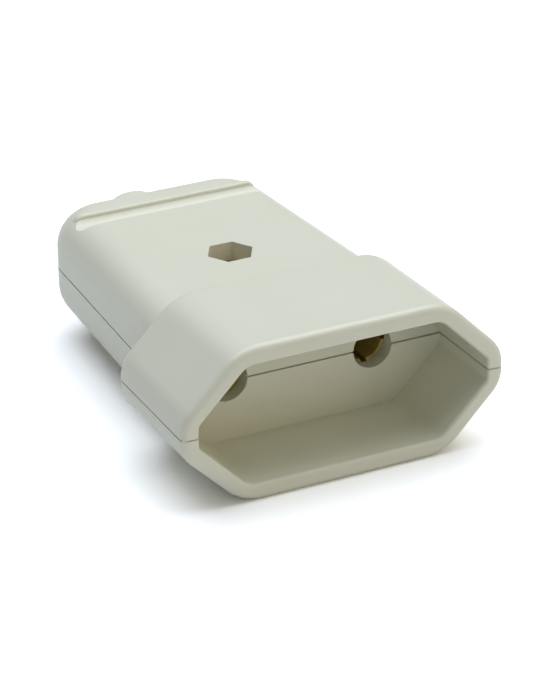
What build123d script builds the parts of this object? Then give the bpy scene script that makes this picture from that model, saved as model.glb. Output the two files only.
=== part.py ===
from build123d import *
import math
import os

# In-line socket for two round pins: two moulded half shells round a pair of brass contacts.
# Millimetres. The pieces are drawn with Y = 0 at the mouth and Y growing towards the cord,
# and Z = 0 at the parting plane of the shells. They are moved to stand on Z = 0 when written.

# Plug pins, and the hexagonal recess that guides the plug
PIN_PITCH = 19.0
PIN_DIAMETER = 4.8
PIN_HOLE_CLEARANCE = 0.15
RECESS_WIDTH = 37.2
RECESS_HEIGHT = 15.1
RECESS_SIDE_FLAT = 2.8
RECESS_DEPTH = 11.5
RECESS_CORNER_RADIUS = 2.4
RECESS_SIDE_RADIUS = 0.8
RECESS_LIP_RADIUS = 0.4
BACK_WALL = 1.8

# Collar round the recess
RIM_WALL = 2.2
RIM_EDGE_RADIUS = 0.9
COLLAR_LENGTH = 18.0
COLLAR_DRAFT = 0.45
COLLAR_SIDE_FLAT = 4.3
COLLAR_CORNER_RADIUS = 6.0
COLLAR_SIDE_RADIUS = 4.2
COLLAR_REAR_RADIUS = 0.7
STEP_RADIUS = 1.5

# Body behind the collar
BODY_FRONT_WIDTH = 32.5
BODY_REAR_WIDTH = 27.9
BODY_HEIGHT = 14.2
BODY_END = 54.8
BODY_EDGE_RADIUS = 4.6
BODY_CORNER_RADIUS = 6.5
BODY_WALL = 1.8

# Finger groove across the body, and the rib behind it
GROOVE_PLACE = 46.8
GROOVE_RADIUS = 1.9
GROOVE_DEPTH = 1.1
GROOVE_WALL = 1.2
RIB_START = 48.2
RIB_WIDTH = 1.0
RIB_LENGTH = 25.0
RIB_FOOT = 3.0
RIB_END_RADIUS = 1.3
RIB_EDGE_RADIUS = 0.3

# Gland for the cord
GLAND_WIDTH = 9.2
GLAND_HEIGHT = 8.0
GLAND_LENGTH = 4.7
GLAND_BORE = 6.0
GLAND_EDGE_RADIUS = 0.5

# Fine gap left along the parting line, where the shells stop short of touching
SEAM_GAP = 0.22
SEAM_DEPTH = 0.5
COLLAR_SEAM_DEPTH = 0.2

# Screw and nut that hold the shells together
SCREW_PLACE = 30.0
SCREW_DIAMETER = 2.5
SCREW_HEAD_DIAMETER = 4.8
SCREW_HEAD_HEIGHT = 1.7
SCREW_HEAD_RADIUS = 0.6
SCREW_RECESS_DEPTH = 3.4
SCREW_TIP = 0.2
NUT_FLATS = 5.0
NUT_HEIGHT = 2.0
NUT_POCKET_DEPTH = 4.3
NUT_CHAMFER_ANGLE = 30
BOSS_DIAMETER = 8.4

# Contacts: turned brass bars, sprung at the pin end and drilled for the wire at the other
CONTACT_DIAMETER = 6.8
CONTACT_LENGTH = 24.0
PIN_BORE_DEPTH = 13.5
PIN_FIT = 0.05
PIN_LEAD_IN = 0.5
SLIT_WIDTH = 0.7
SLIT_LENGTH = 9.0
FLANGE_DIAMETER = 8.0
FLANGE_WIDTH = 1.5
FLANGE_PLACE = 14.0
WIRE_BORE = 3.2
WIRE_BORE_DEPTH = 8.0
TERMINAL_PLACE = 20.5
SPRING_WIRE = 0.9
SPRING_PLACE = 3.2
SPRING_SEAT_DEPTH = 0.3
SPRING_GAP_ANGLE = 60

# Terminal screws
TERMINAL_SCREW_DIAMETER = 3.0
TERMINAL_SCREW_REACH = 2.6
TERMINAL_HEAD_DIAMETER = 4.6
TERMINAL_HEAD_HEIGHT = 1.5
TERMINAL_HEAD_RADIUS = 0.2
TERMINAL_SEAT_DEPTH = 0.4

# Ribs that carry the contacts, and the wall between the two terminals
CARRIER_THICKNESS = 1.5
FRONT_CARRIER_PLACE = 19.5
BARRIER_THICKNESS = 1.4
BARRIER_END = 38.5

# Pegs that line the shells up
PEG_SPACING = 31.0
PEG_PLACE = 15.0
PEG_DIAMETER = 2.2
PEG_HEIGHT = 1.6
PEG_CHAMFER = 0.2
PEG_BOSS_DIAMETER = 3.6

# Cord clamp and the teeth that grip the cord
CLAMP_PLACE = 43.0
CLAMP_LENGTH = 18.6
CLAMP_WIDTH = 5.4
CLAMP_THICKNESS = 2.4
CLAMP_HEAD_ROOM = 0.7
CLAMP_ARCH_DEPTH = 1.0
CLAMP_EDGE_RADIUS = 0.5
CLAMP_CORNER_RADIUS = 1.8
CLAMP_SCREW_SPACING = 13.0
CLAMP_SCREW_DIAMETER = 2.9
CLAMP_SCREW_LENGTH = 6.5
CLAMP_HEAD_DIAMETER = 5.0
CLAMP_HEAD_HEIGHT = 1.4
CLAMP_HEAD_RADIUS = 0.5
CLAMP_POST_DIAMETER = 5.2
TOOTH_PLACES = (48.6, 51.2)
TOOTH_THICKNESS = 1.2
TOOTH_WIDTH = 11.0
TOOTH_BITE = 0.5

# Screw slots, screw points and clearances
SLOT_WIDTH = 0.7
SLOT_DEPTH = 0.8
SCREW_POINT_CHAMFER = 0.25
SEAT_CLEARANCE = 0.1
SCREW_CLEARANCE = 0.15
THREAD_CLEARANCE = 0.03
PEG_CLEARANCE = 0.1
PASS = 1.0

BACK_WALL_END = RECESS_DEPTH + BACK_WALL
CONTACT_START = BACK_WALL_END + SEAT_CLEARANCE
BODY_TOP = BODY_HEIGHT / 2
GLAND_END = BODY_END + GLAND_LENGTH
INNER_TOP = BODY_TOP - BODY_WALL
NUT_SEAT = BODY_TOP - NUT_POCKET_DEPTH
HEAD_SEAT = SCREW_RECESS_DEPTH - BODY_TOP
CLAMP_SEAT = INNER_TOP - CLAMP_HEAD_ROOM - CLAMP_HEAD_HEIGHT - CLAMP_THICKNESS
SPRING_RADIUS = CONTACT_DIAMETER / 2 - SPRING_SEAT_DEPTH + SPRING_WIRE / 2
SIDES = (-1, 1)


def section(depth):
    """Plane across the socket at a depth from the mouth, with its local Y upwards."""
    return Plane.XZ.offset(-depth)


def along(profile, start, end):
    """Solid with one cross-section from one depth to another."""
    return extrude(section(start) * profile, start - end)


def upright(diameter, bottom, top):
    """Round bar standing on the parting plane's normal."""
    return extrude(Plane.XY.offset(bottom) * Circle(diameter / 2), top - bottom)


def hexagon(growth, side_flat):
    """Cross-section of the recess, grown outwards, with short upright flats at its sides."""
    half_width = RECESS_WIDTH / 2 + growth
    half_height = RECESS_HEIGHT / 2 + growth
    half_flat = side_flat / 2
    half_top = half_width - (half_height - half_flat)
    quarter = [(half_width, half_flat), (half_top, half_height)]
    right = quarter + [(x, -z) for x, z in reversed(quarter)]
    outline = right + [(-x, -z) for x, z in right]
    outline = sorted(outline, key=lambda point: math.atan2(point[1], point[0]))
    return Polygon(*outline, align=None)


def round_corners(block, corner_radius, side_radius):
    """Round the long edges of a hexagonal block: those at its top and bottom, then those at its sides."""
    box = block.bounding_box()
    for radius, outer in ((corner_radius, True), (side_radius, False)):
        edges = [edge for edge in block.edges() if edge.bounding_box().size.Y > box.size.Y / 2]
        block = fillet([edge for edge in edges if (abs(edge.center().Z) > box.max.Z / 2) == outer], radius)
    return block


def body_plan(inset):
    """Outline of the body seen from above: it narrows towards the cord and has round rear corners."""
    narrowing = (BODY_FRONT_WIDTH - BODY_REAR_WIDTH) / 2 / (BODY_END - COLLAR_LENGTH)
    front = BODY_FRONT_WIDTH / 2 + narrowing * (COLLAR_LENGTH - BACK_WALL_END) - inset
    end = BODY_END - inset
    rear = BODY_REAR_WIDTH / 2 + narrowing * inset - inset
    outline = Polygon((-front, BACK_WALL_END), (front, BACK_WALL_END), (rear, end), (-rear, end), align=None)
    return fillet(outline.vertices().sort_by(Axis.Y)[-2:], BODY_CORNER_RADIUS - inset)


def body_block(inset):
    """Body, or the hollow inside it, with its long and rear edges rounded."""
    top = BODY_TOP - inset
    block = extrude(body_plan(inset), top, both=True)
    rims = [edge for edge in block.edges()
            if abs(edge.center().Z) > top / 2 and edge.bounding_box().size.Z < top]
    front_face = block.faces().sort_by(Axis.Y)[0]
    front_edges = [edge.center() for edge in front_face.edges()]
    rims = [edge for edge in rims if min((edge.center() - point).length for point in front_edges) > PASS]
    return fillet(rims, BODY_EDGE_RADIUS - inset)


def collar_block():
    """Hexagonal collar: widest at the mouth, with round corners and a soft rim."""
    front = section(0) * hexagon(RIM_WALL, COLLAR_SIDE_FLAT)
    rear = section(COLLAR_LENGTH) * hexagon(RIM_WALL - COLLAR_DRAFT, COLLAR_SIDE_FLAT)
    block = round_corners(loft([front, rear]), COLLAR_CORNER_RADIUS, COLLAR_SIDE_RADIUS)
    block = fillet(block.faces().sort_by(Axis.Y)[0].edges(), RIM_EDGE_RADIUS)
    return fillet(block.faces().sort_by(Axis.Y)[-1].edges(), COLLAR_REAR_RADIUS)


def grip_rib():
    """Rib behind the finger groove: it stays level out to the round edges of the body."""
    profile = Pos(0, BODY_TOP - RIB_FOOT / 2) * Rectangle(RIB_LENGTH, RIB_FOOT)
    profile = fillet(profile.vertices().sort_by(Axis.Y)[-2:], RIB_END_RADIUS)
    upper = along(profile, RIB_START, RIB_START + RIB_WIDTH)
    faces = upper.faces().sort_by(Axis.Y)
    upper = fillet(faces[0].edges() + faces[-1].edges(), RIB_EDGE_RADIUS)
    return upper + mirror(upper, Plane.XY)


def groove_bars(radius):
    """Round bars across the body along the finger grooves, above and below it."""
    height = BODY_TOP - GROOVE_DEPTH + GROOVE_RADIUS
    bar = Cylinder(radius, BODY_FRONT_WIDTH, rotation=(0, 90, 0))
    return [Pos(0, GROOVE_PLACE, side * height) * bar for side in SIDES]


def outer_form():
    """Both shells as one solid from outside: collar, body, rib, groove and gland."""
    form = collar_block() + body_block(0)
    step = [edge for edge in form.edges()
            if abs(edge.center().Y - COLLAR_LENGTH) < SEAT_CLEARANCE
            and edge.bounding_box().size.Y < SEAT_CLEARANCE
            and abs(edge.center().Z) < BODY_TOP + SEAT_CLEARANCE
            and abs(edge.center().X) < BODY_FRONT_WIDTH / 2 + SEAT_CLEARANCE]
    form = fillet(step, STEP_RADIUS)
    for bar in groove_bars(GROOVE_RADIUS):
        form -= bar
    form += grip_rib()
    gland = along(Ellipse(GLAND_WIDTH / 2, GLAND_HEIGHT / 2), BODY_END - BODY_CORNER_RADIUS, GLAND_END)
    gland = fillet(gland.faces().sort_by(Axis.Y)[-1].edges(), GLAND_EDGE_RADIUS)
    return form + gland


def contact_axes():
    """Places of the two contacts across the socket."""
    return [Pos(side * PIN_PITCH / 2, 0, 0) for side in SIDES]


def contact_room():
    """Room for one contact on the Y axis: its bar, its flange and its spring ring."""
    flange = CONTACT_START + FLANGE_PLACE
    bar_room = Circle(CONTACT_DIAMETER / 2 + SEAT_CLEARANCE)
    flange_room = Circle(FLANGE_DIAMETER / 2 + SEAT_CLEARANCE)
    spring_room = Circle(SPRING_RADIUS + SPRING_WIRE / 2 + SEAT_CLEARANCE)
    room = along(bar_room, BACK_WALL_END, CONTACT_START + CONTACT_LENGTH + SEAT_CLEARANCE)
    room += along(flange_room, flange - SEAT_CLEARANCE, flange + FLANGE_WIDTH + SEAT_CLEARANCE)
    return room + along(spring_room, BACK_WALL_END, FRONT_CARRIER_PLACE)


def hollow():
    """Space inside the closed shells, before the ribs and bosses are left standing in it."""
    space = along(hexagon(0, RECESS_SIDE_FLAT), BACK_WALL_END, COLLAR_LENGTH - BODY_WALL)
    space += body_block(BODY_WALL)
    for bar in groove_bars(GROOVE_RADIUS + GROOVE_WALL):
        space -= bar
    for place in contact_axes():
        space += place * contact_room()
    return space


def carriers():
    """Ribs across the hollow: one under the sprung ends and one each side of the contact flanges."""
    flange_front = CONTACT_START + FLANGE_PLACE - SEAT_CLEARANCE
    flange_rear = CONTACT_START + FLANGE_PLACE + FLANGE_WIDTH + SEAT_CLEARANCE
    starts = (FRONT_CARRIER_PLACE, flange_front - CARRIER_THICKNESS, flange_rear)
    saddle = Circle(CONTACT_DIAMETER / 2 + SEAT_CLEARANCE)
    solid = Part()
    for start in starts:
        web = along(Rectangle(BODY_FRONT_WIDTH, BODY_HEIGHT), start, start + CARRIER_THICKNESS)
        for place in contact_axes():
            web -= place * along(saddle, start - PASS, start + CARRIER_THICKNESS + PASS)
        solid += web
    return solid


def cord_teeth(places):
    """Ribs that bite a little into the cord, with a round gap for it."""
    solid = Part()
    for place in places:
        start = place - TOOTH_THICKNESS / 2
        profile = Rectangle(TOOTH_WIDTH, BODY_HEIGHT) - Circle(GLAND_BORE / 2 - TOOTH_BITE)
        solid += along(profile, start, start + TOOTH_THICKNESS)
    return solid


def peg_places():
    """Places of the two lining-up pegs."""
    return [Pos(side * PEG_SPACING / 2, PEG_PLACE, 0) for side in SIDES]


def inner_works(tooth_places):
    """What stands in the hollow of a shell, drawn through its full height."""
    works = carriers() + cord_teeth(tooth_places)
    works += Pos(0, SCREW_PLACE, 0) * upright(BOSS_DIAMETER, -BODY_TOP, BODY_TOP)
    works += along(Rectangle(BARRIER_THICKNESS, BODY_HEIGHT), SCREW_PLACE, BARRIER_END)
    for place in peg_places():
        works += place * upright(PEG_BOSS_DIAMETER, -BODY_TOP, BODY_TOP)
    return works


def openings():
    """Plug recess, pin holes, gland bore and screw hole, cut through both shells."""
    recess = along(hexagon(0, RECESS_SIDE_FLAT), -PASS, RECESS_DEPTH)
    cut = round_corners(recess, RECESS_CORNER_RADIUS, RECESS_SIDE_RADIUS)
    pin_hole = Circle(PIN_DIAMETER / 2 + PIN_HOLE_CLEARANCE)
    for place in contact_axes():
        cut += place * along(pin_hole, RECESS_DEPTH - PASS, BACK_WALL_END + PASS)
    cut += along(Circle(GLAND_BORE / 2), BODY_END - BODY_WALL - PASS, GLAND_END + PASS)
    cut += Pos(0, SCREW_PLACE, 0) * upright(SCREW_DIAMETER + 2 * SCREW_CLEARANCE, -BODY_HEIGHT, BODY_HEIGHT)
    return cut


def on_parting(edge):
    """Whether an edge lies in the parting plane."""
    box = edge.bounding_box()
    return max(abs(box.min.Z), abs(box.max.Z)) < THREAD_CLEARANCE


def lip_edges(shell, depth, width, height):
    """Edges of an opening that lie in the plane across the socket at a depth."""
    found = []
    for edge in shell.edges():
        box = edge.bounding_box()
        flat = max(abs(box.min.Y - depth), abs(box.max.Y - depth)) < THREAD_CLEARANCE
        inside = max(-box.min.X, box.max.X) < width / 2 + THREAD_CLEARANCE
        inside = inside and max(-box.min.Z, box.max.Z) < height / 2 + THREAD_CLEARANCE
        if flat and inside and not on_parting(edge):
            found.append(edge)
    return found


def soften_mouths(shell):
    """Round the inner lips of the recess and of the gland bore."""
    shell = fillet(lip_edges(shell, 0, RECESS_WIDTH, RECESS_HEIGHT), RECESS_LIP_RADIUS)
    return fillet(lip_edges(shell, GLAND_END, GLAND_BORE, GLAND_BORE), GLAND_EDGE_RADIUS)


def seam():
    """Thin slot round the parting line: it runs in from every outer face and from the recess."""
    front = RECESS_WIDTH / 2 + RIM_WALL - COLLAR_SEAM_DEPTH
    rear = front - COLLAR_DRAFT
    end = COLLAR_LENGTH - SEAM_DEPTH
    corners = [(-front, COLLAR_SEAM_DEPTH), (front, COLLAR_SEAM_DEPTH), (rear, end), (-rear, end)]
    bearing = Polygon(*corners, align=None)
    gland_length = GLAND_END - SEAM_DEPTH - BODY_END + BODY_CORNER_RADIUS
    gland_middle = GLAND_END - SEAM_DEPTH - gland_length / 2
    bearing += Pos(0, gland_middle) * Rectangle(GLAND_WIDTH - 2 * SEAM_DEPTH, gland_length)
    bearing += body_plan(SEAM_DEPTH)
    bearing -= Rectangle(RECESS_WIDTH + 2 * COLLAR_SEAM_DEPTH, 2 * (RECESS_DEPTH + SEAM_DEPTH))
    slab = Box(2 * RECESS_WIDTH, 4 * GLAND_END, SEAM_GAP)
    return slab - extrude(bearing, SEAM_GAP, both=True)


def half_shell(side, tooth_places):
    """Upper (side 1) or lower (side -1) half of the moulding, with its ribs and bosses left standing."""
    room = Pos(0, GLAND_END / 2, side * RECESS_WIDTH / 2) * Box(2 * RECESS_WIDTH, 2 * GLAND_END, RECESS_WIDTH)
    shell = soften_mouths((FORM & room) - OPENINGS)
    space = (HOLLOW & room) - inner_works(tooth_places)
    return shell - space - seam()


def hexagon_bar(flats, bottom, top):
    """Upright hexagonal bar with corners towards the sides of the socket."""
    outline = RegularPolygon(flats / 2, 6, major_radius=False)
    return Pos(0, SCREW_PLACE, 0) * extrude(Plane.XY.offset(bottom) * outline, top - bottom)


def upper_shell():
    """Upper half: pocket for the nut, and holes for the pegs."""
    shell = half_shell(1, TOOTH_PLACES)
    shell -= hexagon_bar(NUT_FLATS + 2 * SEAT_CLEARANCE, NUT_SEAT, BODY_HEIGHT)
    for place in peg_places():
        shell -= place * upright(PEG_DIAMETER + 2 * PEG_CLEARANCE, -PASS, PEG_HEIGHT + PEG_CLEARANCE)
    return shell


def clamp_places():
    """Places of the two clamp screws."""
    return [Pos(side * CLAMP_SCREW_SPACING / 2, CLAMP_PLACE, 0) for side in SIDES]


def lower_shell():
    """Lower half: recess for the screw head, pegs, and posts for the cord clamp."""
    shell = half_shell(-1, (CLAMP_PLACE,) + TOOTH_PLACES)
    head_room = upright(SCREW_HEAD_DIAMETER + 2 * SCREW_CLEARANCE, -BODY_HEIGHT, HEAD_SEAT)
    shell -= Pos(0, SCREW_PLACE, 0) * head_room
    for place in peg_places():
        peg = upright(PEG_DIAMETER, -PASS, PEG_HEIGHT)
        shell += place * chamfer(peg.faces().sort_by(Axis.Z)[-1].edges(), PEG_CHAMFER)
    hole_bottom = CLAMP_SEAT + CLAMP_THICKNESS - CLAMP_SCREW_LENGTH - SCREW_CLEARANCE
    for place in clamp_places():
        shell += place * upright(CLAMP_POST_DIAMETER, -INNER_TOP - BODY_WALL / 2, CLAMP_SEAT)
        shell -= place * upright(CLAMP_SCREW_DIAMETER + 2 * THREAD_CLEARANCE, hole_bottom, CLAMP_SEAT + PASS)
    return shell


def slotted_screw(shank, reach, head, height, radius):
    """Screw standing head up with its seat at Z = 0: plain shank, rounded head and a slot."""
    top = upright(head, 0, height)
    top = fillet(top.faces().sort_by(Axis.Z)[-1].edges(), radius)
    stem = upright(shank, -reach, 0)
    stem = chamfer(stem.faces().sort_by(Axis.Z)[0].edges(), SCREW_POINT_CHAMFER)
    slot = Pos(0, 0, height) * Box(2 * head, SLOT_WIDTH, 2 * SLOT_DEPTH)
    return top + stem - slot


def assembly_screw():
    """Screw from below through both bosses into the nut."""
    reach = NUT_SEAT + NUT_HEIGHT + SCREW_TIP - HEAD_SEAT
    screw = slotted_screw(SCREW_DIAMETER, reach, SCREW_HEAD_DIAMETER, SCREW_HEAD_HEIGHT, SCREW_HEAD_RADIUS)
    return Pos(0, SCREW_PLACE, HEAD_SEAT) * Rot(180, 0, 0) * screw


def hexagon_nut():
    """Nut in the pocket of the upper shell, its corners turned off on both sides."""
    nut = hexagon_bar(NUT_FLATS, NUT_SEAT, NUT_SEAT + NUT_HEIGHT)
    corner = NUT_FLATS / math.sqrt(3)
    rise = (corner - NUT_FLATS / 2) * math.tan(math.radians(NUT_CHAMFER_ANGLE))
    turned = [(0, 0), (NUT_FLATS / 2, 0), (corner, rise), (corner, NUT_HEIGHT - rise),
              (NUT_FLATS / 2, NUT_HEIGHT), (0, NUT_HEIGHT)]
    blank = revolve(Plane.XZ * Polygon(*turned, align=None), Axis.Z)
    nut &= Pos(0, SCREW_PLACE, NUT_SEAT) * blank
    bore = upright(SCREW_DIAMETER + 2 * THREAD_CLEARANCE, -BODY_HEIGHT, BODY_HEIGHT)
    return nut - Pos(0, SCREW_PLACE, 0) * bore


def contact():
    """Contact on the Y axis: slit pin socket in front, locating flange, wire hole and screw hole behind."""
    end = CONTACT_START + CONTACT_LENGTH
    flange = CONTACT_START + FLANGE_PLACE
    bar = along(Circle(CONTACT_DIAMETER / 2), CONTACT_START, end)
    bar += along(Circle(FLANGE_DIAMETER / 2), flange, flange + FLANGE_WIDTH)
    bar -= along(Circle(PIN_DIAMETER / 2 + PIN_FIT), CONTACT_START - PASS, CONTACT_START + PIN_BORE_DEPTH)
    mouth = [edge for edge in bar.edges().filter_by(GeomType.CIRCLE)
             if abs(edge.center().Y - CONTACT_START) < THREAD_CLEARANCE
             and edge.radius < CONTACT_DIAMETER / 2]
    bar = chamfer(mouth, PIN_LEAD_IN)
    bar -= along(Circle(WIRE_BORE / 2), end - WIRE_BORE_DEPTH, end + PASS)
    for profile in (Rectangle(FLANGE_DIAMETER, SLIT_WIDTH), Rectangle(SLIT_WIDTH, FLANGE_DIAMETER)):
        bar -= along(profile, CONTACT_START - PASS, CONTACT_START + SLIT_LENGTH)
    thread = upright(TERMINAL_SCREW_DIAMETER + 2 * THREAD_CLEARANCE, 0, FLANGE_DIAMETER)
    bar -= Pos(0, CONTACT_START + TERMINAL_PLACE, 0) * thread
    seat = Pos(0, CONTACT_START + TERMINAL_PLACE, CONTACT_DIAMETER / 2 - TERMINAL_SEAT_DEPTH)
    bar -= seat * upright(TERMINAL_HEAD_DIAMETER + 2 * SCREW_CLEARANCE, 0, FLANGE_DIAMETER)
    return bar - spring_ring(THREAD_CLEARANCE, 0)


def spring_ring(growth, gap_angle):
    """Open ring of round wire pressed over the slit end of a contact."""
    wire = Pos(SPRING_RADIUS, 0) * Circle(SPRING_WIRE / 2 + growth)
    ring = revolve(Plane.XY * wire, Axis.Y, 360 - gap_angle)
    return Pos(0, CONTACT_START + SPRING_PLACE, 0) * Rot(0, gap_angle / 2, 0) * ring


def terminal_screw():
    """Screw across the wire hole of a contact."""
    screw = slotted_screw(TERMINAL_SCREW_DIAMETER, TERMINAL_SCREW_REACH,
                          TERMINAL_HEAD_DIAMETER, TERMINAL_HEAD_HEIGHT, TERMINAL_HEAD_RADIUS)
    return Pos(0, CONTACT_START + TERMINAL_PLACE, CONTACT_DIAMETER / 2 - TERMINAL_SEAT_DEPTH) * screw


def clamp_bar():
    """Bar across the cord, arched underneath, on the two posts of the lower shell."""
    middle = Pos(0, CLAMP_PLACE, CLAMP_SEAT + CLAMP_THICKNESS / 2)
    bar = middle * Box(CLAMP_LENGTH, CLAMP_WIDTH, CLAMP_THICKNESS)
    bar = fillet(bar.edges().filter_by(Axis.Z), CLAMP_CORNER_RADIUS)
    bar = fillet(bar.faces().sort_by(Axis.Z)[-1].edges(), CLAMP_EDGE_RADIUS)
    arch = Pos(0, CLAMP_SEAT + CLAMP_ARCH_DEPTH - GLAND_BORE / 2) * Circle(GLAND_BORE / 2)
    bar -= along(arch, CLAMP_PLACE - CLAMP_WIDTH, CLAMP_PLACE + CLAMP_WIDTH)
    for place in clamp_places():
        bar -= place * upright(CLAMP_SCREW_DIAMETER + 2 * SCREW_CLEARANCE, -BODY_HEIGHT, BODY_HEIGHT)
    return bar


def clamp_screws():
    """The two screws that pull the clamp bar down on the cord."""
    seat = CLAMP_SEAT + CLAMP_THICKNESS
    screw = slotted_screw(CLAMP_SCREW_DIAMETER, CLAMP_SCREW_LENGTH,
                          CLAMP_HEAD_DIAMETER, CLAMP_HEAD_HEIGHT, CLAMP_HEAD_RADIUS)
    return Compound(children=[place * Pos(0, 0, seat) * screw for place in clamp_places()])


FORM = outer_form()
HOLLOW = hollow()
OPENINGS = openings()
LEFT, RIGHT = contact_axes()

pieces = {
    "upper_shell": upper_shell(),
    "lower_shell": lower_shell(),
    "left_contact": LEFT * contact(),
    "right_contact": RIGHT * contact(),
    "left_contact_spring": LEFT * spring_ring(0, SPRING_GAP_ANGLE),
    "right_contact_spring": RIGHT * spring_ring(0, SPRING_GAP_ANGLE),
    "left_terminal_screw": LEFT * terminal_screw(),
    "right_terminal_screw": RIGHT * terminal_screw(),
    "cord_clamp_bar": clamp_bar(),
    "cord_clamp_screws": clamp_screws(),
    "assembly_screw": assembly_screw(),
    "hexagon_nut": hexagon_nut(),
}

# Stand the socket on its lower collar face, centred on its length
STAND = FORM.bounding_box()
PLACE = Pos(0, -(STAND.min.Y + STAND.max.Y) / 2, -STAND.min.Z)

os.makedirs("parts", exist_ok=True)
for name, piece in pieces.items():
    export_step(PLACE * piece, f"parts/{name}.step")
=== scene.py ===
import bpy
import math
from mathutils import Matrix, Vector


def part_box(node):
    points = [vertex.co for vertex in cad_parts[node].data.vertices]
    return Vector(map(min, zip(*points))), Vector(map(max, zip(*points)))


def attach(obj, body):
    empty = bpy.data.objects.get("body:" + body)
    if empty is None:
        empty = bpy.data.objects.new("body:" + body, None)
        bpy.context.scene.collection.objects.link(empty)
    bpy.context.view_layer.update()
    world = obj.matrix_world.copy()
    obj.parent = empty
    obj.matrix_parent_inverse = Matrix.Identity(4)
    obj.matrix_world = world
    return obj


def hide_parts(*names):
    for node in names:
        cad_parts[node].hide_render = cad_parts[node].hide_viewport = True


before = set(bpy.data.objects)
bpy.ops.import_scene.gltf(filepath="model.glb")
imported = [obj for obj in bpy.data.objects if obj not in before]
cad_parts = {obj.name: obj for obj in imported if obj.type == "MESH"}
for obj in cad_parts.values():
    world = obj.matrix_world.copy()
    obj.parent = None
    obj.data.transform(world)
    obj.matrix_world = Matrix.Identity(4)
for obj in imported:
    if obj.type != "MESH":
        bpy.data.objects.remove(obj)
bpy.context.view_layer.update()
scene = bpy.context.scene
scene.view_settings.view_transform = "Standard"

# Half shells: two injection mouldings in off-white ABS that meet on a level parting plane.
# A polished tool leaves a half-gloss skin with a faint ripple, and the colour clouds a little
# where the melt flowed.
MM = 0.001
ABS_LIGHT = "E1E0CD"
ABS_DARK = "DDDBC6"
CLOUD_MM = 14.0
FLOW_MM = 7.0
RIPPLE_MM = 0.9
RIPPLE_HEIGHT_MM = 0.004
ABS_SMOOTH = 0.28
ABS_ROUGH = 0.36
ABS_IOR = 1.53


def linear(hex_colour):
    """sRGB hex to the linear colour that a shader takes."""
    channels = [int(hex_colour[i:i + 2], 16) / 255 for i in (0, 2, 4)]
    flat = [c / 12.92 if c <= 0.04045 else ((c + 0.055) / 1.055) ** 2.4 for c in channels]
    return (*flat, 1.0)


def add_node(tree, kind, inputs=None, **settings):
    """One node with its settings. An input is a value, another node's socket, or a node's first output."""
    made = tree.nodes.new(kind)
    for name, value in settings.items():
        setattr(made, name, value)
    for name, value in (inputs or {}).items():
        if isinstance(value, bpy.types.Node):
            value = next(socket for socket in value.outputs if socket.enabled)
        if isinstance(value, bpy.types.NodeSocket):
            tree.links.new(value, made.inputs[name])
        else:
            made.inputs[name].default_value = value
    return made


def new_material(name):
    """Empty node material, its tree and its coordinates on the object."""
    material = bpy.data.materials.new(name)
    material.use_nodes = True
    tree = material.node_tree
    tree.nodes.clear()
    return material, tree, add_node(tree, "ShaderNodeTexCoord").outputs["Object"]


def finish_surface(tree, inputs):
    """Main shader of a material, with its inputs, led to the output."""
    surface = add_node(tree, "ShaderNodeBsdfPrincipled", inputs)
    add_node(tree, "ShaderNodeOutputMaterial", {"Surface": surface})


def dress(node, material):
    """Gives a CAD piece its finish."""
    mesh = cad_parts[node].data
    mesh.materials.clear()
    mesh.materials.append(material)


def moulded_abs():
    """Off-white ABS as moulded: clouded colour, a gloss that varies with the flow and a faint ripple."""
    material, tree, place = new_material("moulded_abs_off_white")
    cloud = add_node(tree, "ShaderNodeTexNoise", {
        "Vector": place, "Scale": 1 / (CLOUD_MM * MM), "Detail": 3.0})
    flow = add_node(tree, "ShaderNodeTexNoise", {
        "Vector": place, "Scale": 1 / (FLOW_MM * MM), "Detail": 2.0})
    ripple = add_node(tree, "ShaderNodeTexNoise", {
        "Vector": place, "Scale": 1 / (RIPPLE_MM * MM), "Detail": 2.0})
    colour = add_node(tree, "ShaderNodeMix", {
        "Factor": cloud.outputs["Fac"], "A": linear(ABS_DARK), "B": linear(ABS_LIGHT)}, data_type="RGBA")
    gloss = add_node(tree, "ShaderNodeMapRange", {
        "Value": flow.outputs["Fac"], "To Min": ABS_SMOOTH, "To Max": ABS_ROUGH})
    bump = add_node(tree, "ShaderNodeBump", {
        "Height": ripple.outputs["Fac"], "Strength": 0.5, "Distance": RIPPLE_HEIGHT_MM * MM})
    finish_surface(tree, {"Base Color": colour, "Roughness": gloss, "IOR": ABS_IOR, "Normal": bump})
    return material


shell_abs = moulded_abs()
for shell in ("upper_shell", "lower_shell"):
    dress(shell, shell_abs)

# Contacts: brass bar turned on a lathe, drilled for the pin and the wire, and slit at the pin end.
# The tool leaves fine rings round the bar, and the air has dulled the bare metal in brownish clouds.
BRASS_BRIGHT = "E1CD80"
BRASS_BROWN = "C6B06C"
TURNING_MM = 0.16
TURNING_HEIGHT_MM = 0.006
TARNISH_MM = 2.5
TARNISH_FROM, TARNISH_TO = 0.35, 0.65
METALLIC_TARNISHED = 0.35
METALLIC_BARE = 0.80
RINGS_FROM, RINGS_TO = 0.3, 0.7
TURNED_SMOOTH = 0.50
TURNED_ROUGH = 0.66


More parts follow.
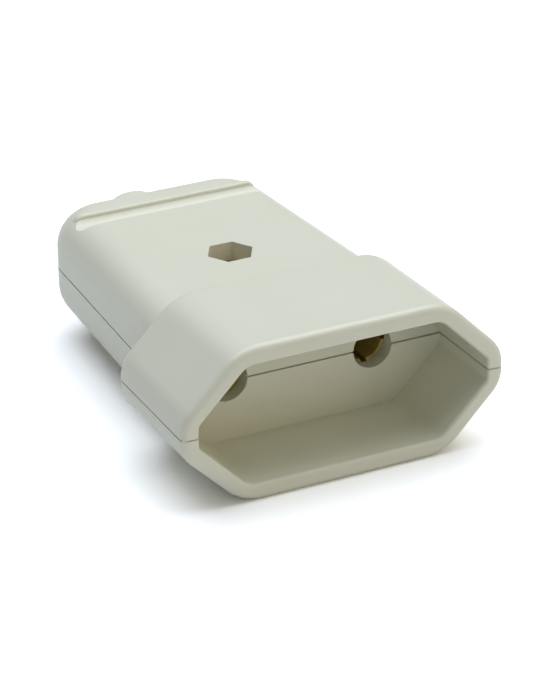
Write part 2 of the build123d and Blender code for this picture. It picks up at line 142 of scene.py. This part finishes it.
def turned_brass():
    """Turned brass: rings round the bar in gloss and height, under a brown tarnish in clouds."""
    material, tree, place = new_material("turned_brass_tarnished")
    length = add_node(tree, "ShaderNodeVectorMath", {0: place, 1: (0, 1, 0)}, operation="MULTIPLY")
    rings = add_node(tree, "ShaderNodeTexNoise", {
        "Vector": length, "Scale": 1 / (TURNING_MM * MM), "Detail": 2.0})
    tarnish = add_node(tree, "ShaderNodeTexNoise", {
        "Vector": place, "Scale": 1 / (TARNISH_MM * MM), "Detail": 5.0})
    stain = add_node(tree, "ShaderNodeMapRange", {
        "Value": tarnish.outputs["Fac"], "From Min": TARNISH_FROM, "From Max": TARNISH_TO})
    bare = add_node(tree, "ShaderNodeMapRange", {
        "Value": stain, "To Min": METALLIC_TARNISHED, "To Max": METALLIC_BARE})
    colour = add_node(tree, "ShaderNodeMix", {
        "Factor": stain, "A": linear(BRASS_BROWN), "B": linear(BRASS_BRIGHT)}, data_type="RGBA")
    gloss = add_node(tree, "ShaderNodeMapRange", {
        "Value": rings.outputs["Fac"], "From Min": RINGS_FROM, "From Max": RINGS_TO,
        "To Min": TURNED_SMOOTH, "To Max": TURNED_ROUGH})
    bump = add_node(tree, "ShaderNodeBump", {
        "Height": rings.outputs["Fac"], "Strength": 0.6, "Distance": TURNING_HEIGHT_MM * MM})
    finish_surface(tree, {"Base Color": colour, "Metallic": bare, "Roughness": gloss, "Normal": bump})
    return material


contact_brass = turned_brass()
for contact in ("left_contact", "right_contact"):
    dress(contact, contact_brass)

# Spring rings: hard-drawn steel wire bent into an open ring and pressed over the slit end of a contact.
# The die leaves fine lines along the wire, so they run round the ring. They are drawn coarser than real
# ones, so that they show.
WIRE_LIGHT = "9A9DA1"
WIRE_DARK = "74777C"
DRAW_LINE_MM = 0.07
WIRE_SMOOTH = 0.30
WIRE_ROUGH = 0.48


def drawn_wire():
    """Drawn spring steel: grey, with lines along the wire, found from the distance to the ring's axis."""
    material, tree, place = new_material("drawn_spring_steel")
    # The two rings mirror each other, so the place without its sign serves both.
    low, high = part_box("right_contact")
    centre = ((low.x + high.x) / 2, 0, (low.z + high.z) / 2)
    mirrored = add_node(tree, "ShaderNodeVectorMath", {0: place}, operation="ABSOLUTE")
    offset = add_node(tree, "ShaderNodeVectorMath", {0: mirrored, 1: centre}, operation="SUBTRACT")
    split = add_node(tree, "ShaderNodeSeparateXYZ", {"Vector": offset})
    across = add_node(tree, "ShaderNodeCombineXYZ", {"X": split.outputs["X"], "Z": split.outputs["Z"]})
    reach = add_node(tree, "ShaderNodeVectorMath", {0: across}, operation="LENGTH").outputs["Value"]
    line = add_node(tree, "ShaderNodeCombineXYZ", {"X": reach, "Y": split.outputs["Y"]})
    lines = add_node(tree, "ShaderNodeTexNoise", {
        "Vector": line, "Scale": 1 / (DRAW_LINE_MM * MM), "Detail": 2.0})
    colour = add_node(tree, "ShaderNodeMix", {
        "Factor": lines.outputs["Fac"], "A": linear(WIRE_DARK), "B": linear(WIRE_LIGHT)}, data_type="RGBA")
    gloss = add_node(tree, "ShaderNodeMapRange", {
        "Value": lines.outputs["Fac"], "To Min": WIRE_SMOOTH, "To Max": WIRE_ROUGH})
    finish_surface(tree, {"Base Color": colour, "Metallic": 1.0, "Roughness": gloss})
    return material


spring_steel = drawn_wire()
for spring in ("left_contact_spring", "right_contact_spring"):
    dress(spring, spring_steel)

# Terminal screws: slotted cheese-head machine screws across the wire holes of the contacts.
# They are headed from steel wire, with a rolled thread and a sawn slot, and their bright zinc plate
# goes from blue to straw.
ZINC_BLUE = "9A9EA3"
ZINC_STRAW = "ADAA9C"
ZINC_SMOOTH = 0.32
ZINC_ROUGH = 0.50
ZINC_PATCH_MM = 1.4
ZINC_PATCH_FROM, ZINC_PATCH_TO = 0.35, 0.65
ZINC_GRAIN_MM = 0.12
ZINC_GRAIN_HEIGHT_MM = 0.003
TERMINAL_MM = {
    "Shank Diameter": 3.0, "Thread Pitch": 0.5, "Thread Depth": 0.3, "Point Chamfer": 0.25,
    "Head Diameter": 4.6, "Head Height": 1.5, "Slot Width": 0.7, "Slot Depth": 0.8}
TERMINAL_HEAD_ROUNDNESS = 0.2
TERMINAL_TURNS = {"left_terminal_screw": 25, "right_terminal_screw": -40}
# Mesh of a screw: its points and rows, its flanks and run-out in pitches, its weld and its crisp edges.
POINTS_AROUND = 49
ROWS_PER_PITCH = 10
HEAD_ROWS = 20
CREST_AT, ROOT_AT = 0.08, 0.44
RUN_OUT_FROM, RUN_OUT_TO = -1.4, -0.6
WELD_MM = 0.0005
CRISP_DEGREES = 35


def zinc_plate(name, first_tone, second_tone, smooth, rough):
    """Zinc plate on steel: from one tone to the other in soft patches, with a fine grain."""
    material, tree, place = new_material(name)
    patch = add_node(tree, "ShaderNodeTexNoise", {
        "Vector": place, "Scale": 1 / (ZINC_PATCH_MM * MM), "Detail": 3.0})
    grain = add_node(tree, "ShaderNodeTexNoise", {
        "Vector": place, "Scale": 1 / (ZINC_GRAIN_MM * MM), "Detail": 2.0})
    tone = add_node(tree, "ShaderNodeMapRange", {
        "Value": patch.outputs["Fac"], "From Min": ZINC_PATCH_FROM, "From Max": ZINC_PATCH_TO})
    colour = add_node(tree, "ShaderNodeMix", {
        "Factor": tone, "A": linear(first_tone), "B": linear(second_tone)}, data_type="RGBA")
    gloss = add_node(tree, "ShaderNodeMapRange", {
        "Value": grain.outputs["Fac"], "To Min": smooth, "To Max": rough})
    bump = add_node(tree, "ShaderNodeBump", {
        "Height": grain.outputs["Fac"], "Strength": 0.4, "Distance": ZINC_GRAIN_HEIGHT_MM * MM})
    finish_surface(tree, {"Base Color": colour, "Metallic": 1.0, "Roughness": gloss, "Normal": bump})
    return material


def screw_tree():
    """Row of slotted screws, seated at the row's points: helical thread, rounded head, sawn slot."""
    tree = bpy.data.node_groups.new("slotted_screws", "GeometryNodeTree")
    for size in ("Shank Diameter", "Shank Length", "Thread Pitch", "Thread Depth", "Point Chamfer",
                 "Head Diameter", "Head Height", "Head Roundness", "Slot Width", "Slot Depth"):
        tree.interface.new_socket(size, in_out="INPUT", socket_type="NodeSocketFloat")
    tree.interface.new_socket("Count", in_out="INPUT", socket_type="NodeSocketInt")
    for size in ("First Seat", "Spacing", "Turn"):
        tree.interface.new_socket(size, in_out="INPUT", socket_type="NodeSocketVector")
    tree.interface.new_socket("Finish", in_out="INPUT", socket_type="NodeSocketMaterial")
    tree.interface.new_socket("Screws", in_out="OUTPUT", socket_type="NodeSocketGeometry")
    size = add_node(tree, "NodeGroupInput").outputs

    # A flat grid rolled round the axis: its X goes round the screw and its Y along it.
    flat = add_node(tree, "ShaderNodeSeparateXYZ", {"Vector": add_node(tree, "GeometryNodeInputPosition")})
    turn = add_node(tree, "ShaderNodeMath", {0: flat.outputs["X"], 1: 0.5}, operation="ADD")
    angle = add_node(tree, "ShaderNodeMath", {0: turn, 1: math.tau}, operation="MULTIPLY")
    cosine = add_node(tree, "ShaderNodeMath", {0: angle}, operation="COSINE")
    sine = add_node(tree, "ShaderNodeMath", {0: angle}, operation="SINE")
    along = add_node(tree, "ShaderNodeMath", {0: flat.outputs["Y"], 1: 0.5}, operation="ADD")

    # Shank: the first row closes the tip, and the rows above it follow the thread, which runs out
    # below the seat.
    pitches = add_node(tree, "ShaderNodeMath", {
        0: size["Shank Length"], 1: size["Thread Pitch"]}, operation="DIVIDE")
    steps = add_node(tree, "ShaderNodeMath", {
        0: pitches, 1: ROWS_PER_PITCH, 2: 1.0}, operation="MULTIPLY_ADD")
    steps = add_node(tree, "ShaderNodeMath", {0: steps}, operation="ROUND")
    rows = add_node(tree, "ShaderNodeMath", {0: steps, 1: 1.0}, operation="ADD")
    step = add_node(tree, "ShaderNodeMath", {0: 1.0, 1: steps}, operation="DIVIDE")
    tip = add_node(tree, "ShaderNodeMath", {0: size["Shank Length"], 1: -1.0}, operation="MULTIPLY")
    height = add_node(tree, "ShaderNodeMapRange", {
        "Value": along, "From Min": step, "From Max": 1.0, "To Min": tip, "To Max": 0.0})
    lead = add_node(tree, "ShaderNodeMath", {0: height, 1: size["Thread Pitch"]}, operation="DIVIDE")
    phase = add_node(tree, "ShaderNodeMath", {0: lead, 1: turn}, operation="SUBTRACT")
    wave = add_node(tree, "ShaderNodeMath", {0: phase, 1: 0.5}, operation="PINGPONG")
    groove = add_node(tree, "ShaderNodeMapRange", {
        "Value": wave, "From Min": CREST_AT, "From Max": ROOT_AT, "To Min": 1.0, "To Max": 0.0})
    fade = add_node(tree, "ShaderNodeMapRange", {
        "Value": lead, "From Min": RUN_OUT_FROM, "From Max": RUN_OUT_TO, "To Min": 1.0, "To Max": 0.0})
    cut = add_node(tree, "ShaderNodeMath", {0: groove, 1: fade}, operation="MULTIPLY")
    cut = add_node(tree, "ShaderNodeMath", {0: cut, 1: size["Thread Depth"]}, operation="MULTIPLY")
    half = add_node(tree, "ShaderNodeMath", {0: size["Shank Diameter"], 1: 0.5}, operation="MULTIPLY")
    thread = add_node(tree, "ShaderNodeMath", {0: half, 1: cut}, operation="SUBTRACT")
    from_tip = add_node(tree, "ShaderNodeMath", {0: height, 1: size["Shank Length"]}, operation="ADD")
    point = add_node(tree, "ShaderNodeMath", {0: half, 1: size["Point Chamfer"]}, operation="SUBTRACT")
    point = add_node(tree, "ShaderNodeMath", {0: point, 1: from_tip}, operation="ADD")
    radius = add_node(tree, "ShaderNodeMath", {0: thread, 1: point}, operation="MINIMUM")
    half_step = add_node(tree, "ShaderNodeMath", {0: step, 1: 0.5}, operation="MULTIPLY")
    off_tip = add_node(tree, "ShaderNodeMath", {0: along, 1: half_step}, operation="GREATER_THAN")
    radius = add_node(tree, "ShaderNodeMath", {0: radius, 1: off_tip}, operation="MULTIPLY")
    spot = add_node(tree, "ShaderNodeCombineXYZ", {
        "X": add_node(tree, "ShaderNodeMath", {0: radius, 1: cosine}, operation="MULTIPLY"),
        "Y": add_node(tree, "ShaderNodeMath", {0: radius, 1: sine}, operation="MULTIPLY"), "Z": height})
    grid = add_node(tree, "GeometryNodeMeshGrid", {
        "Size X": 1.0, "Size Y": 1.0, "Vertices X": POINTS_AROUND, "Vertices Y": rows})
    shank = add_node(tree, "GeometryNodeSetPosition", {"Geometry": grid.outputs["Mesh"], "Position": spot})

    # Head: its first row is the shank's last, then come a flat seat and a side and top that lie
    # between a box and a dome.
    first = 1 / (HEAD_ROWS - 1)
    rise = add_node(tree, "ShaderNodeMapRange", {
        "Value": along, "From Min": first, "From Max": 1.0, "To Min": 0.0, "To Max": math.pi / 2})
    inward = add_node(tree, "ShaderNodeMath", {0: rise}, operation="COSINE")
    inward = add_node(tree, "ShaderNodeMath", {0: inward, 1: size["Head Roundness"]}, operation="POWER")
    upward = add_node(tree, "ShaderNodeMath", {0: rise}, operation="SINE")
    upward = add_node(tree, "ShaderNodeMath", {0: upward, 1: size["Head Roundness"]}, operation="POWER")
    head_half = add_node(tree, "ShaderNodeMath", {0: size["Head Diameter"], 1: 0.5}, operation="MULTIPLY")
    off_seat = add_node(tree, "ShaderNodeMath", {0: along, 1: first / 2}, operation="GREATER_THAN")
    off_top = add_node(tree, "ShaderNodeMath", {0: along, 1: 1 - first / 2}, operation="LESS_THAN")
    head_radius = add_node(tree, "ShaderNodeMath", {0: inward, 1: head_half}, operation="MULTIPLY")
    head_radius = add_node(tree, "ShaderNodeMath", {0: head_radius, 1: off_top}, operation="MULTIPLY")
    head_radius = add_node(tree, "ShaderNodeMix", {"Factor": off_seat, "A": half, "B": head_radius})
    head_spot = add_node(tree, "ShaderNodeCombineXYZ", {
        "X": add_node(tree, "ShaderNodeMath", {0: head_radius, 1: cosine}, operation="MULTIPLY"),
        "Y": add_node(tree, "ShaderNodeMath", {0: head_radius, 1: sine}, operation="MULTIPLY"),
        "Z": add_node(tree, "ShaderNodeMath", {0: upward, 1: size["Head Height"]}, operation="MULTIPLY")})
    head_grid = add_node(tree, "GeometryNodeMeshGrid", {
        "Size X": 1.0, "Size Y": 1.0, "Vertices X": POINTS_AROUND, "Vertices Y": HEAD_ROWS})
    head = add_node(tree, "GeometryNodeSetPosition", {
        "Geometry": head_grid.outputs["Mesh"], "Position": head_spot})
    screw = add_node(tree, "GeometryNodeJoinGeometry", {"Geometry": shank})
    tree.links.new(head.outputs["Geometry"], screw.inputs["Geometry"])
    screw = add_node(tree, "GeometryNodeMergeByDistance", {"Geometry": screw, "Distance": WELD_MM * MM})

    # Slot: sawn straight across the head.
    saw = add_node(tree, "ShaderNodeCombineXYZ", {
        "X": add_node(tree, "ShaderNodeMath", {0: size["Head Diameter"], 1: 2.0}, operation="MULTIPLY"),
        "Y": size["Slot Width"],
        "Z": add_node(tree, "ShaderNodeMath", {0: size["Slot Depth"], 1: 2.0}, operation="MULTIPLY")})
    blade = add_node(tree, "GeometryNodeMeshCube", {"Size": saw})
    top = add_node(tree, "ShaderNodeCombineXYZ", {"Z": size["Head Height"]})
    blade = add_node(tree, "GeometryNodeTransform", {
        "Geometry": blade.outputs["Mesh"], "Translation": top})
    screw = add_node(tree, "GeometryNodeMeshBoolean", {
        0: screw, 1: blade}, operation="DIFFERENCE", solver="EXACT")

    # Round surfaces shade smooth, and sharp edges stay crisp.
    screw = add_node(tree, "GeometryNodeSetShadeSmooth", {
        "Geometry": screw.outputs["Mesh"], "Shade Smooth": True}, domain="FACE")
    fold = add_node(tree, "GeometryNodeInputMeshEdgeAngle").outputs["Unsigned Angle"]
    crisp = add_node(tree, "ShaderNodeMath", {
        0: fold, 1: math.radians(CRISP_DEGREES)}, operation="GREATER_THAN")
    screw = add_node(tree, "GeometryNodeSetShadeSmooth", {
        "Geometry": screw, "Selection": crisp, "Shade Smooth": False}, domain="EDGE")

    # One screw for each seat of the row, as a plain mesh in its finish.
    seats = add_node(tree, "GeometryNodeMeshLine", {
        "Count": size["Count"], "Start Location": size["First Seat"], "Offset": size["Spacing"]},
        mode="OFFSET")
    row = add_node(tree, "GeometryNodeInstanceOnPoints", {
        "Points": seats.outputs["Mesh"], "Instance": screw, "Rotation": size["Turn"]})
    row = add_node(tree, "GeometryNodeRealizeInstances", {"Geometry": row})
    row = add_node(tree, "GeometryNodeSetMaterial", {"Geometry": row, "Material": size["Finish"]})
    add_node(tree, "NodeGroupOutput", {"Screws": row})
    return tree


SCREW_TREE = screw_tree()


def set_screws(node, sizes_mm, others):
    """Threaded screws in place of a CAD node, made by the tree from sizes in mm and its other inputs."""
    inputs = {name: size * MM for name, size in sizes_mm.items()} | others | {"Finish": zinc}
    piece = bpy.data.objects.new(node + "_threaded", bpy.data.meshes.new(node + "_threaded"))
    scene.collection.objects.link(piece)
    modifier = piece.modifiers.new("screws", "NODES")
    modifier.node_group = SCREW_TREE
    for item in SCREW_TREE.interface.items_tree:
        if item.in_out == "INPUT":
            modifier[item.identifier] = inputs[item.name]
    made = bpy.data.meshes.new_from_object(piece.evaluated_get(bpy.context.evaluated_depsgraph_get()))
    piece.modifiers.clear()
    piece.data = made
    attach(piece, "root")
    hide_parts(node)


zinc = zinc_plate("bright_zinc_plate", ZINC_BLUE, ZINC_STRAW, ZINC_SMOOTH, ZINC_ROUGH)
for node, turn in TERMINAL_TURNS.items():
    low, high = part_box(node)
    seat = high.z - TERMINAL_MM["Head Height"] * MM
    set_screws(node, TERMINAL_MM, {
        "Shank Length": seat - low.z, "Head Roundness": TERMINAL_HEAD_ROUNDNESS, "Count": 1,
        "First Seat": ((low.x + high.x) / 2, (low.y + high.y) / 2, seat), "Spacing": (0.0, 0.0, 0.0),
        "Turn": (0.0, 0.0, math.radians(turn))})

# Cord clamp bar: a small moulded bar of polyamide over two posts of the lower shell.
# A spark-eroded tool leaves it matt, with an even fine grain.
POLYAMIDE_LIGHT = "CFC7B0"
POLYAMIDE_DARK = "C4BBA2"
POLYAMIDE_CLOUD_MM = 4.0
POLYAMIDE_SMOOTH = 0.50
POLYAMIDE_ROUGH = 0.66
POLYAMIDE_IOR = 1.53
SPARK_GRAIN_MM = 0.22
SPARK_HEIGHT_MM = 0.02


def spark_polyamide():
    """Polyamide from a spark-eroded tool: warm grey-white, matt, with an even grain."""
    material, tree, place = new_material("moulded_polyamide_matt")
    grain = add_node(tree, "ShaderNodeTexNoise", {
        "Vector": place, "Scale": 1 / (SPARK_GRAIN_MM * MM), "Detail": 3.0})
    cloud = add_node(tree, "ShaderNodeTexNoise", {
        "Vector": place, "Scale": 1 / (POLYAMIDE_CLOUD_MM * MM), "Detail": 2.0})
    colour = add_node(tree, "ShaderNodeMix", {
        "Factor": cloud.outputs["Fac"], "A": linear(POLYAMIDE_DARK), "B": linear(POLYAMIDE_LIGHT)},
        data_type="RGBA")
    gloss = add_node(tree, "ShaderNodeMapRange", {
        "Value": grain.outputs["Fac"], "To Min": POLYAMIDE_SMOOTH, "To Max": POLYAMIDE_ROUGH})
    bump = add_node(tree, "ShaderNodeBump", {
        "Height": grain.outputs["Fac"], "Strength": 0.6, "Distance": SPARK_HEIGHT_MM * MM})
    finish_surface(tree, {"Base Color": colour, "Roughness": gloss, "IOR": POLYAMIDE_IOR, "Normal": bump})
    return material


dress("cord_clamp_bar", spark_polyamide())

# Cord clamp screws: two slotted pan-head screws that go into the posts and pull the bar down on the cord.
# They are zinc-plated steel, and their thread is coarse because it forms its own way in plastic.
CLAMP_MM = {
    "Shank Diameter": 2.9, "Thread Pitch": 1.1, "Thread Depth": 0.45, "Point Chamfer": 0.6,
    "Head Diameter": 5.0, "Head Height": 1.4, "Slot Width": 0.7, "Slot Depth": 0.8}
PAN_HEAD_ROUNDNESS = 0.42
CLAMP_TURN = 15
low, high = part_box("cord_clamp_screws")
seat = high.z - CLAMP_MM["Head Height"] * MM
first = low.x + CLAMP_MM["Head Diameter"] * MM / 2
set_screws("cord_clamp_screws", CLAMP_MM, {
    "Shank Length": seat - low.z, "Head Roundness": PAN_HEAD_ROUNDNESS, "Count": 2,
    "First Seat": (first, (low.y + high.y) / 2, seat), "Spacing": (-2 * first, 0.0, 0.0),
    "Turn": (0.0, 0.0, math.radians(CLAMP_TURN))})

# Nut: a hexagon nut, cold formed from steel, zinc plated and passivated, which leaves it dull and from
# straw to brown. It is pushed into the hexagonal pocket of the upper shell, which keeps it from turning.
PASSIVATE_STRAW = "CBAC62"
PASSIVATE_BROWN = "AB8D54"
PASSIVATE_SMOOTH = 0.50
PASSIVATE_ROUGH = 0.66
passivated_zinc = zinc_plate(
    "yellow_passivated_zinc", PASSIVATE_BROWN, PASSIVATE_STRAW, PASSIVATE_SMOOTH, PASSIVATE_ROUGH)
dress("hexagon_nut", passivated_zinc)

# Assembly screw: a slotted pan-head machine screw, put in from below through both shells into the nut.
# It is zinc-plated steel, and its head sits in a recess under the socket.
ASSEMBLY_MM = {
    "Shank Diameter": 2.5, "Thread Pitch": 0.45, "Thread Depth": 0.27, "Point Chamfer": 0.25,
    "Head Diameter": 4.8, "Head Height": 1.7, "Slot Width": 0.7, "Slot Depth": 0.8}
ASSEMBLY_TURN = 55
low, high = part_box("assembly_screw")
seat = low.z + ASSEMBLY_MM["Head Height"] * MM
set_screws("assembly_screw", ASSEMBLY_MM, {
    "Shank Length": high.z - seat, "Head Roundness": PAN_HEAD_ROUNDNESS, "Count": 1,
    "First Seat": ((low.x + high.x) / 2, (low.y + high.y) / 2, seat), "Spacing": (0.0, 0.0, 0.0),
    "Turn": (math.pi, 0.0, math.radians(ASSEMBLY_TURN))})

# Floor: a plain, level sheet of white paper that keeps the socket's shadow. To the camera alone it is
# exposed to white, and further off it goes over into the white that the camera sees all round.
FLOOR_SIZE = 6.0
PAPER_WHITE = (0.90, 0.90, 0.90, 1.0)
PAPER_SEEN = (1.52, 1.50, 1.49, 1.0)
WHITE_FROM_MM = 90.0
WHITE_AT_MM = 200.0
bpy.ops.mesh.primitive_plane_add(size=FLOOR_SIZE)
floor = bpy.context.object
floor.name = "floor"
paper, tree, place = new_material("white_paper")
seen = add_node(tree, "ShaderNodeLightPath").outputs["Is Camera Ray"]
shade = add_node(tree, "ShaderNodeMix", {
    "Factor": seen, "A": PAPER_WHITE, "B": PAPER_SEEN}, data_type="RGBA")
sheet = add_node(tree, "ShaderNodeBsdfDiffuse", {"Color": shade})
away = add_node(tree, "ShaderNodeVectorMath", {0: place}, operation="LENGTH").outputs["Value"]
# Only a camera ray takes the paper over into white, so the socket is lit by the plain sheet.
far = add_node(tree, "ShaderNodeMapRange", {
    "Value": away, "From Min": WHITE_FROM_MM * MM, "From Max": WHITE_AT_MM * MM, "To Max": seen})
white = add_node(tree, "ShaderNodeEmission", {"Strength": 1.0})
ground = add_node(tree, "ShaderNodeMixShader", {0: far, 1: sheet, 2: white})
add_node(tree, "ShaderNodeOutputMaterial", {"Surface": ground})
floor.data.materials.append(paper)

# Light: a large soft box overhead, a little to the right and behind, aimed at the socket in a dim cool
# room that is brighter and warmer in front and to the right. Gloss shows a plain pale backdrop there,
# and the camera sees white.
WHITE = (1.0, 1.0, 1.0, 1.0)
ROOM_COOL = (0.86, 1.0, 1.16, 1.0)
ROOM_WARM = (1.16, 1.0, 0.72, 1.0)
ROOM_DIM = 0.075
ROOM_FRONT = 0.78
ROOM_TOWARDS = (0.60, -0.70, -0.38)
FRONT_FROM, FRONT_TO = -0.2, 0.85
BACKDROP = 0.30
LAMP_PLACE = (0.05, 0.11, 0.5)
LAMP_SIZE = (0.7, 0.6)
LAMP_WATTS = 3.25
LAMP_COLOUR = (0.94, 1.0, 1.10)
world = bpy.data.worlds.new("room")
scene.world = world
world.use_nodes = True
tree = world.node_tree
tree.nodes.clear()
place = add_node(tree, "ShaderNodeTexCoord").outputs["Generated"]
facing = add_node(tree, "ShaderNodeVectorMath", {0: place, 1: ROOM_TOWARDS}, operation="DOT_PRODUCT")
front = add_node(tree, "ShaderNodeMapRange", {
    "Value": facing.outputs["Value"], "From Min": FRONT_FROM, "From Max": FRONT_TO})
tint = add_node(tree, "ShaderNodeMix", {"Factor": front, "A": ROOM_COOL, "B": ROOM_WARM}, data_type="RGBA")
strength = add_node(tree, "ShaderNodeMapRange", {"Value": front, "To Min": ROOM_DIM, "To Max": ROOM_FRONT})
room = add_node(tree, "ShaderNodeBackground", {"Color": tint, "Strength": strength})
backdrop = add_node(tree, "ShaderNodeBackground", {"Color": WHITE, "Strength": BACKDROP})
white = add_node(tree, "ShaderNodeBackground", {"Color": WHITE, "Strength": 1.0})
path = add_node(tree, "ShaderNodeLightPath")
around = add_node(tree, "ShaderNodeMixShader", {0: path.outputs["Is Glossy Ray"], 1: room, 2: backdrop})
around = add_node(tree, "ShaderNodeMixShader", {0: path.outputs["Is Camera Ray"], 1: around, 2: white})
add_node(tree, "ShaderNodeOutputWorld", {"Surface": around})

lamp_data = bpy.data.lights.new("softbox", "AREA")
lamp_data.shape = "RECTANGLE"
lamp_data.size, lamp_data.size_y = LAMP_SIZE
lamp_data.energy = LAMP_WATTS
lamp_data.color = LAMP_COLOUR
lamp = bpy.data.objects.new("softbox", lamp_data)
aim = Vector(LAMP_PLACE).to_track_quat("Z", "Y").to_matrix().to_4x4()
lamp.matrix_world = Matrix.Translation(LAMP_PLACE) @ aim
scene.collection.objects.link(lamp)

# Camera: a long lens at the angle of the photograph, placed from the middle of the socket's mouth at
# the foot of the upper shell, with the photograph's slight roll.
CAMERA_AZIMUTH = -26.523
CAMERA_ELEVATION = 25.920
CAMERA_ROLL = -0.574
CAMERA_PLACE_MM = (-157.36, -295.77, 169.69)
LENS_MM = 169.28
SENSOR_MM = 36.0
CLIP_START_MM = 10.0
azimuth, elevation, roll = (math.radians(a) for a in (CAMERA_AZIMUTH, CAMERA_ELEVATION, CAMERA_ROLL))
level = math.cos(elevation)
back = Vector((math.sin(azimuth) * level, -math.cos(azimuth) * level, math.sin(elevation)))
right = (-back).cross(Vector((0, 0, 1))).normalized()
up = right.cross(-back)
right, up = right * math.cos(roll) + up * math.sin(roll), up * math.cos(roll) - right * math.sin(roll)
shell_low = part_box("upper_shell")[0]
mouth = Vector((0, shell_low.y, shell_low.z))
camera_data = bpy.data.cameras.new("camera")
camera_data.sensor_fit = "VERTICAL"
camera_data.sensor_height = SENSOR_MM
camera_data.lens = LENS_MM
camera_data.clip_start = CLIP_START_MM * MM
camera = bpy.data.objects.new("camera", camera_data)
turn = Matrix((right, up, back)).transposed().to_4x4()
camera.matrix_world = Matrix.Translation(mouth + Vector(CAMERA_PLACE_MM) * MM) @ turn
scene.collection.objects.link(camera)
scene.camera = camera
